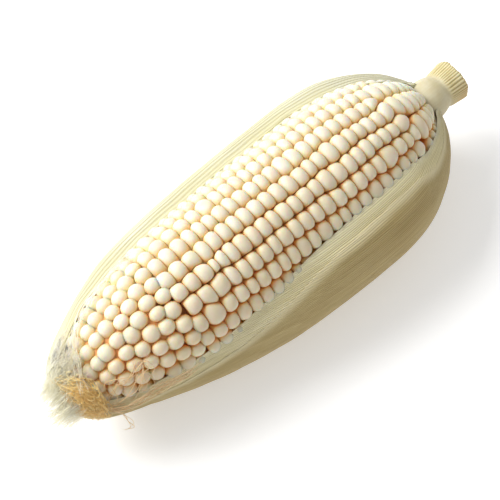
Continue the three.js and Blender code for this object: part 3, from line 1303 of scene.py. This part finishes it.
@dataclass
class Husk:
    """The leaves that cup the ear from below, layer on layer."""

    shape: EarShape
    space: EarSpace
    layer_step: float = 1.2
    thickness: float = 0.38
    base_x: float = 77.6
    along: int = 130
    rib_pitch: float = 2.3
    rib_height: float = 0.07
    margin_step: float = 0.42
    base_sink: float = 1.8
    widest_radius: float = 32.0
    slip_to_tip: float = 24.0
    slip_at_tip: float = 9.0
    slip_at_base: float = 8.0
    wrap_at_tip: float = 70.0
    wrap_at_base: float = 30.0
    relief_seed: int = 3

    def slip(self, x: np.ndarray) -> np.ndarray:
        """Find how far the right leaves slip down towards the tip and the base.

        Args:
            x: Places along the axis.

        Returns:
            The slip in degrees at each place.
        """
        to_tip = self.slip_to_tip * (1.0 - smoothstep(x, -62.0, 20.0))
        at_tip = self.slip_at_tip * (1.0 - smoothstep(x, -84.0, -68.0))
        at_base = self.slip_at_base * smoothstep(x, 46.0, 60.0)
        return to_tip + at_tip + at_base * (1.0 - smoothstep(x, 66.0, 75.0))

    def grid(self, leaf: Leaf) -> tuple[np.ndarray, np.ndarray, np.ndarray]:
        """Spread a leaf's grid over the husk.

        Args:
            leaf: The leaf.

        Returns:
            The place, the turn and the distance to the nearer margin of each point.
        """
        rng = np.random.default_rng(leaf.seed)
        width = math.radians(leaf.high - leaf.low) * self.widest_radius
        across = int(width / self.rib_pitch * 6) + 1
        b = np.linspace(0.0, 1.0, across)
        b = (b - 0.04 * np.sin(2.0 * math.pi * b))[None, :]
        s = 0.5 - 0.5 * np.cos(np.linspace(0.0, math.pi, self.along))
        s = (0.6 * s + 0.4 * np.linspace(0.0, 1.0, self.along))[:, None]
        teeth = wander(b * width, rng, 9.0) + 0.6 * wander(b * width, rng, 3.0)
        tip = leaf.tip_x + leaf.ragged * (0.5 + 0.5 * teeth)
        x = tip + (self.base_x - tip) * s
        share = smoothstep(x, leaf.tip_x, leaf.tip_x + leaf.point_length)
        share = leaf.point_share + (1.0 - leaf.point_share) * share
        low = leaf.low + 0.7 * wander(x, rng, 55.0)
        high = leaf.high + 0.7 * wander(x, rng, 55.0) - leaf.slip_share * self.slip(x)
        wrap = self.wrap_at_base * smoothstep(x, 48.0, 74.0)
        wrap = wrap + self.wrap_at_tip * (1.0 - smoothstep(x, -98.0, -89.5))
        low = low - wrap * (leaf.low < 80.0)
        middle, half = (low + high) / 2, (high - low) / 2
        turn = middle + half * share * (2.0 * b - 1.0)
        from_margin = np.minimum(b, 1.0 - b) * width * share
        return x, turn, from_margin

    def radius(self, x: np.ndarray, turn: np.ndarray) -> np.ndarray:
        """Find the radius of the husk's inner face, read from a fine table of its sections.

        Args:
            x: Places along the axis.
            turn: Turns from straight up.

        Returns:
            The radius at each point.
        """
        own_turn = np.maximum(turn, 20.0) + self.slip(x) * smoothstep(turn, 225.0, 268.0)
        step = 0.5
        stations = np.arange(-98.0, 80.0 + step / 2, step)
        turns = np.arange(20.0, 330.0 + step / 2, step)
        table = self.shape.husk_section(stations, turns)
        i = np.clip((x - stations[0]) / step, 0.0, len(stations) - 1.001)
        j = np.clip((own_turn - turns[0]) / step, 0.0, len(turns) - 1.001)
        i0, j0 = i.astype(int), j.astype(int)
        u, v = i - i0, j - j0
        low = table[i0, j0] * (1 - v) + table[i0, j0 + 1] * v
        high = table[i0 + 1, j0] * (1 - v) + table[i0 + 1, j0 + 1] * v
        return low * (1 - u) + high * u

    def relief(self, x: np.ndarray, turn: np.ndarray) -> np.ndarray:
        """Find the ribs, waves and pleats that every layer shares, so the layers nest.

        Args:
            x: Places along the axis.
            turn: Turns from straight up.

        Returns:
            How far the surface stands out from the plain one.
        """
        rng = np.random.default_rng(self.relief_seed)
        arc = np.radians(turn) * self.widest_radius
        ribs = np.abs(np.sin(math.pi * arc / self.rib_pitch)) - 0.5
        strong = 1.0 + 0.5 * wander(arc, rng, 17.0)
        strong = strong * (0.35 + 0.65 * smoothstep(turn, 105.0, 140.0))
        waves = 0.3 * wander(x + 2.0 * arc, rng, 60.0) * wander(arc, rng, 30.0)
        free = smoothstep(x, -97.0, -70.0) * (1.0 - smoothstep(x, 68.0, 76.0))
        gathered = 1.0 - smoothstep(x, -90.0, -64.0)
        pleats = 0.5 * np.sin(2.0 * math.pi * arc / 6.3 + 0.05 * x) * gathered
        return self.rib_height * ribs * strong + waves * free + pleats * smoothstep(x, -97.0, -88.0)

    def build_leaf(self, leaf: Leaf, material: bpy.types.Material) -> bpy.types.Object:
        """Model one leaf as a thin ribbed sheet with two faces and a rim.

        Args:
            leaf: The leaf.
            material: Its material.

        Returns:
            The piece.
        """
        x, turn, margin = self.grid(leaf)
        arc = np.radians(turn) * self.widest_radius
        from_step = self.layer_step - self.margin_step
        step = self.margin_step + from_step * smoothstep(margin, 1.0, 22.0)
        base = self.radius(x, turn) + self.relief(x, turn) + leaf.layer * step
        base = base - self.base_sink * smoothstep(x, 75.6, self.base_x)
        thickness = self.thickness * (0.45 + 0.55 * smoothstep(margin, 0.0, 2.5))
        outermost = 2 * self.layer_step + self.thickness
        sides = []
        for depth in (np.zeros_like(thickness), thickness):
            points = round_axis(x, turn, base + depth)
            offset = (leaf.layer * step + depth).ravel()
            low = outermost - offset - self.shape.axis_height + 0.04
            points[:, 2] = np.maximum(points[:, 2], low)
            sides.append(points)
        rows, columns = x.shape
        inner = grid_faces(rows, columns, False)
        outer = inner[:, ::-1] + rows * columns
        numbers = np.arange(rows * columns).reshape(rows, columns)
        loop = np.concatenate(
            [numbers[0], numbers[1:, -1], numbers[-1, -2::-1], numbers[-2:0:-1, 0]]
        )
        after = np.roll(loop, -1)
        far = rows * columns
        rim = np.stack([after, loop, loop + far, after + far], axis=-1)
        marks = np.stack([x, arc, margin], axis=-1).reshape(-1, 3)
        parts = MeshParts()
        leaf_marks = np.concatenate([marks, marks])
        parts.add(np.concatenate(sides), [inner, outer, rim], leaf=leaf_marks)
        piece = parts.make(f"husk_{leaf.name}", self.space)
        finish_piece(piece, material, [f"husk_leaf_{leaf.name}"])
        return piece


# ---------------------------------------------------------------- silk


class SilkPart(Enum):
    """The three ways in which silk lies on the ear."""

    NEST = "silk_nest"
    STRAND = "silk_strands"
    FRINGE = "silk_fringe"


@dataclass(frozen=True)
class FringeWay:
    """One lot of fringe fibres: how many, where they start, and how they lie.

    They start between two places along the axis, around a turn from straight up. Their roots
    fill the husk's mouth from its core to its rim, as shares of its radius. Hug is how closely
    they follow the husk's shape, and droop how far their ends sink.
    """

    count: int
    turn: float
    spread: float
    start: tuple[float, float]
    length: tuple[float, float]
    hug: float
    droop: float
    core: float = 0.9
    rim: float = 1.02


FRINGE_WAYS = (
    FringeWay(260, 50.0, 30.0, (-93.0, -81.0), (6.0, 13.0), hug=1.0, droop=0.3),
    FringeWay(400, 60.0, 80.0, (-96.0, -91.0), (4.0, 9.0), hug=0.2, droop=1.5),
    FringeWay(300, -80.0, 42.0, (-96.0, -90.0), (6.0, 14.0), hug=0.1, droop=5.0),
    FringeWay(420, 0.0, 110.0, (-94.0, -89.0), (4.0, 9.0), 0.0, 1.0, core=0.0, rim=0.5),
    FringeWay(260, 28.0, 28.0, (-90.5, -86.0), (5.0, 11.0), 0.3, 0.5, core=0.55, rim=1.0),
)


@dataclass(frozen=True)
class Bundle:
    """A bundle of long strands: its route over the crowns, and how many strands share it.

    A route's stops are the place along the axis, the turn towards -Y in degrees, and the height
    over the kernels' crowns. A bundle in the frame stands for the node of its name.
    """

    name: str
    route: Route
    count: int
    looseness: float = 1.0
    pale: bool = False
    in_frame: bool = True


BUNDLES = (
    Bundle(
        "across",
        (
            (-91, 88, 5),
            (-86, 70, 3),
            (-82, 54, 1),
            (-78, 54, 0.7),
            (-73, 46, 0.7),
            (-68, 46, 0.6),
        ),
        5,
    ),
    Bundle(
        "loop",
        (
            (-91, 92, 5),
            (-86, 92, 3),
            (-81, 82, 1.2),
            (-77, 63, 1.2),
            (-73, 50, 1.6),
            (-71, 58, 1.4),
            (-72, 70, 0.8),
            (-75, 76, 0.6),
        ),
        3,
    ),
    Bundle(
        "margin",
        (
            (-91, 96, 6),
            (-86, 96, 4),
            (-80, 92, 2.5),
            (-74, 84, 1.5),
            (-68, 80, 1.3),
            (-62, 80, 1.2),
            (-56, 79, 0.8),
        ),
        12,
    ),
    Bundle(
        "left",
        (
            (-91, 30, 7),
            (-88, 0, 4),
            (-84, -28, 2),
            (-74, -48, 0.8),
            (-60, -55, 0.5),
            (-48, -58, 0.4),
        ),
        10,
        pale=True,
    ),
    Bundle(
        "hanging",
        (
            (-88, 86, 5),
            (-85, 94, 5.5),
            (-84, 103, 8),
            (-84, 111, 10),
            (-86, 118, 11.5),
        ),
        3,
        looseness=0.35,
        in_frame=False,
    ),
)


@dataclass
class Silk:
    """The silk: a curly nest at the tip, long strands over the kernels, and a pale fringe."""

    shape: EarShape
    space: EarSpace
    seed: int = 23
    sides: int = 5
    nest_strands: int = 210
    nest_steps: int = 30
    nest_step: float = 0.6
    nest_x: float = -92.0
    nest_reach: float = 6.0
    nest_turn: float = -60.0

    def tube(self, path: np.ndarray, radius: float, tint: float, parts: MeshParts) -> None:
        """Draw one strand along a path, thinning to both ends.

        Args:
            path: The points it follows.
            radius: Its radius at the middle.
            tint: Its shade, from 0 to 1.
            parts: What to add it to.
        """
        count = len(path)
        ahead = np.gradient(path, axis=0)
        ahead /= np.linalg.norm(ahead, axis=1, keepdims=True) + 1e-9
        side = np.cross(ahead[0], (0.3, 0.5, 0.81))
        sides = []
        for direction in ahead:
            side = side - direction * np.dot(side, direction)
            side = side / (np.linalg.norm(side) + 1e-9)
            sides.append(side)
        right = np.array(sides)
        up = np.cross(ahead, right)
        along = np.linspace(0.0, 1.0, count)
        girth = radius * (0.25 + 0.75 * np.sin(math.pi * along) ** 0.5)
        angle = np.linspace(0.0, 2.0 * math.pi, self.sides, endpoint=False)
        ring = right[:, None] * np.cos(angle)[None, :, None]
        ring = ring + up[:, None] * np.sin(angle)[None, :, None]
        points = (path[:, None] + ring * girth[:, None, None]).reshape(-1, 3)
        first, last = path[:1] - ahead[:1] * radius, path[-1:] + ahead[-1:] * radius
        body = len(points)
        points = np.concatenate([points, first, last])
        faces = [
            grid_faces(count, self.sides, True),
            fan_faces(body, np.arange(self.sides), False),
            fan_faces(body + 1, body - self.sides + np.arange(self.sides), True),
        ]
        marks = np.append(np.repeat(along, self.sides), [0.0, 1.0])
        parts.add(points, faces, tint=np.full(len(points), tint), along=marks)

    def over_kernels(self, route: np.ndarray, count: int) -> np.ndarray:
        """Lay a route over the kernels' crowns.

        Args:
            route: Places, turns towards -Y in degrees, and heights over the crowns.
            count: How many points to draw.

        Returns:
            The points, in the ear's own space.
        """
        knots = np.arange(len(route), dtype=float)
        at = np.linspace(0.0, knots[-1], count)
        x, turn, lift = (knot_weights(at, knots) @ route).T
        radius = self.shape.kernel_radius(np.maximum(x, self.shape.kernel_tip.x + 2.0)) + lift
        return round_axis(x, -turn, radius)

    def build_nest(self, material: bpy.types.Material) -> bpy.types.Object:
        """Tangle curly strands over the lower side of the tip.

        Args:
            material: The silk's material.

        Returns:
            The piece.
        """
        rng = np.random.default_rng(self.seed)
        parts = MeshParts()
        for _ in range(self.nest_strands):
            along, around = rng.normal(0.0, 2.3), rng.normal(0.0, 5.4)
            heading, bend = rng.uniform(0.0, 2.0 * math.pi), rng.normal(0.0, 0.45)
            rise = rng.uniform(0.1, 3.4)
            places = []
            for step in range(self.nest_steps):
                places.append((along, around, rise + 0.6 * math.sin(0.5 * step + 9.0 * bend)))
                bend = 0.93 * bend + rng.normal(0.0, 0.15)
                heading += bend
                along += self.nest_step * math.cos(heading) - 0.05 * along
                around += self.nest_step * math.sin(heading) - 0.03 * around
            along_all, around_all, rise_all = np.array(places).T
            x = self.nest_x + self.nest_reach * np.tanh(along_all / self.nest_reach)
            hug = self.shape.husk_radius(np.maximum(x, self.shape.husk_tip.x + 0.8)) * 0.95
            turn = self.nest_turn - np.degrees(around_all / np.maximum(hug, 6.0))
            path = round_axis(x, turn, hug + rise_all)
            self.tube(path, rng.uniform(0.06, 0.11), rng.uniform(0.0, 1.0), parts)
        piece = parts.make(SilkPart.NEST.value, self.space)
        finish_piece(piece, material, ["silk_tuft"])
        return piece

    def build_strands(
        self, material: bpy.types.Material, pale: bpy.types.Material
    ) -> list[bpy.types.Object]:
        """Lay the long strands over the kernels.

        Args:
            material: The tan strands' material.
            pale: The material of the pale ones on the left.

        Returns:
            One piece for each bundle.
        """
        rng = np.random.default_rng(self.seed + 1)
        pieces = []
        for bundle in BUNDLES:
            parts = MeshParts()
            for _ in range(bundle.count):
                shake = rng.normal(0.0, 1.0, (len(bundle.route), 3)) * (1.6, 4.2, 0.2)
                own = np.array(bundle.route) + shake * bundle.looseness
                own[:, 2] = np.maximum(own[:, 2], 0.2)
                path = self.over_kernels(own, 48)
                radius = rng.uniform(0.09, 0.14)
                self.tube(path, radius, rng.uniform(0.4, 1.0), parts)
            piece = parts.make(f"{SilkPart.STRAND.value}_{bundle.name}", self.space)
            nodes = [f"silk_wisp_{bundle.name}"] if bundle.in_frame else []
            finish_piece(piece, pale if bundle.pale else material, nodes)
            pieces.append(piece)
        return pieces

    def build_fringe(self, material: bpy.types.Material) -> bpy.types.Object:
        """Comb pale fibres over the tip and fray them out past the husk.

        Args:
            material: The pale fibres' material.

        Returns:
            The piece.
        """
        rng = np.random.default_rng(self.seed + 2)
        parts = MeshParts()
        t = np.linspace(0.0, 1.0, 11)
        for way in FRINGE_WAYS:
            for _ in range(way.count):
                turn = rng.normal(way.turn, way.spread)
                start, length = rng.uniform(*way.start), rng.uniform(*way.length)
                x = start - length * t
                hug = self.shape.husk_radius(np.maximum(x, self.shape.husk_tip.x + 0.6)) + 0.6
                mouth = float(self.shape.husk_radius(np.array(start)))
                root = mouth * rng.uniform(way.core, way.rim)
                free = root + rng.normal(-0.35, 0.3) * length * t
                radius = way.hug * hug + (1.0 - way.hug) * free
                sway = rng.normal(0.0, 16.0) * t**2
                path = round_axis(x, turn + sway, np.maximum(radius, 0.5))
                path[:, 2] -= way.droop * t**2 * rng.uniform(0.5, 1.3)
                path[:, 2] = np.maximum(path[:, 2], 0.3 - self.shape.axis_height)
                self.tube(path, rng.uniform(0.045, 0.075), rng.uniform(0.0, 1.0), parts)
        piece = parts.make(SilkPart.FRINGE.value, self.space)
        finish_piece(piece, material, [])
        return piece


# ---------------------------------------------------------------- studio


@dataclass
class Studio:
    """A pale floor, a soft lamp from the upper left, and the camera."""

    azimuth: float = -41.9
    elevation: float = 64.8
    distance: float = 0.60
    lens: float = 121.0
    target: Vector = Vector((-0.0074, 0.0031, 0.0247))
    lamp_distance: float = 1.1
    sky_strength: float = 0.5

    def build_floor(self) -> None:
        """Lay the floor."""
        mesh = bpy.data.meshes.new("floor")
        size = 4.0
        corners = [(-size, -size, 0), (size, -size, 0), (size, size, 0), (-size, size, 0)]
        mesh.from_pydata(corners, [], [(0, 1, 2, 3)])
        floor = bpy.data.objects.new("floor", mesh)
        bpy.context.scene.collection.objects.link(floor)
        bench = NodeBench("floor_paint")
        bench.shader.inputs["Base Color"].default_value = (0.93, 0.93, 0.93, 1.0)
        bench.shader.inputs["Roughness"].default_value = 0.9
        bench.shader.inputs["Specular IOR Level"].default_value = 0.1
        bench.shader.inputs["Emission Color"].default_value = (1.0, 1.0, 1.0, 1.0)
        bench.shader.inputs["Emission Strength"].default_value = 0.3
        mesh.materials.append(bench.material)

    def add_lamp(self, name: str, direction: Vector, size: float, power: float) -> None:
        """Hang a square soft lamp.

        Args:
            name: The lamp's name.
            direction: Where it hangs, seen from the ear.
            size: Its side, in metres.
            power: Its power, in watts.
        """
        data = bpy.data.lights.new(name, "AREA")
        data.shape = "SQUARE"
        data.size = size
        data.energy = power
        lamp = bpy.data.objects.new(name, data)
        lamp.location = self.target + direction.normalized() * self.lamp_distance
        lamp.rotation_mode = "QUATERNION"
        lamp.rotation_quaternion = (-direction).to_track_quat("-Z", "Y")
        bpy.context.scene.collection.objects.link(lamp)

    def build_light(self) -> None:
        """Light the studio."""
        world = bpy.data.worlds.new("studio")
        world.use_nodes = True
        back = world.node_tree.nodes["Background"]
        back.inputs["Color"].default_value = (1.0, 1.0, 1.0, 1.0)
        back.inputs["Strength"].default_value = self.sky_strength
        bpy.context.scene.world = world
        self.add_lamp("key_lamp", Vector((-0.4, 0.62, 0.68)), size=0.7, power=14.8)
        bpy.context.scene.view_settings.view_transform = "Standard"

    def build_camera(self) -> None:
        """Set up the camera."""
        a, e = math.radians(self.azimuth), math.radians(self.elevation)
        back = Vector((math.sin(a) * math.cos(e), -math.cos(a) * math.cos(e), math.sin(e)))
        data = bpy.data.cameras.new("camera")
        data.lens = self.lens
        data.sensor_width = 36.0
        camera = bpy.data.objects.new("camera", data)
        camera.rotation_mode = "QUATERNION"
        camera.location = self.target + back * self.distance
        camera.rotation_quaternion = (-back).to_track_quat("-Z", "Y")
        bpy.context.scene.collection.objects.link(camera)
        bpy.context.scene.camera = camera


def main() -> None:
    """Build the ear piece by piece, then the studio."""
    logging.basicConfig(level=logging.INFO, format="%(name)s: %(message)s")
    shape = EarShape()
    space = EarSpace.from_shank(92.0)
    studio = Studio()
    studio.build_camera()
    studio.build_floor()
    studio.build_light()

    cob = CobAndShank(shape, space).build(ShankFinish().material())
    LOG.info("%s: cob, bulb and cut shank", cob.name)

    rows = KernelRows(shape, space, CrownLine.along(shape))
    for piece in rows.build(KernelFinish().material()):
        LOG.info("%s: %d faces", piece.name, len(piece.data.polygons))

    husk = Husk(shape, space)
    finishes = {finish: finish.material() for finish in (STRAW_HUSK, KHAKI_HUSK, FRESH_HUSK)}
    for leaf, finish in LEAVES.items():
        piece = husk.build_leaf(leaf, finishes[finish])
        LOG.info("%s: %d faces", piece.name, len(piece.data.polygons))

    silk = Silk(shape, space)
    gold, tan, pale = (finish.material() for finish in (GOLD_SILK, TAN_SILK, PALE_SILK))
    LOG.info("%s: curly nest", silk.build_nest(gold).name)
    for piece in silk.build_strands(tan, pale):
        LOG.info("%s: long strands", piece.name)
    LOG.info("%s: pale fringe", silk.build_fringe(pale).name)


if __name__ == "__main__":
    main()
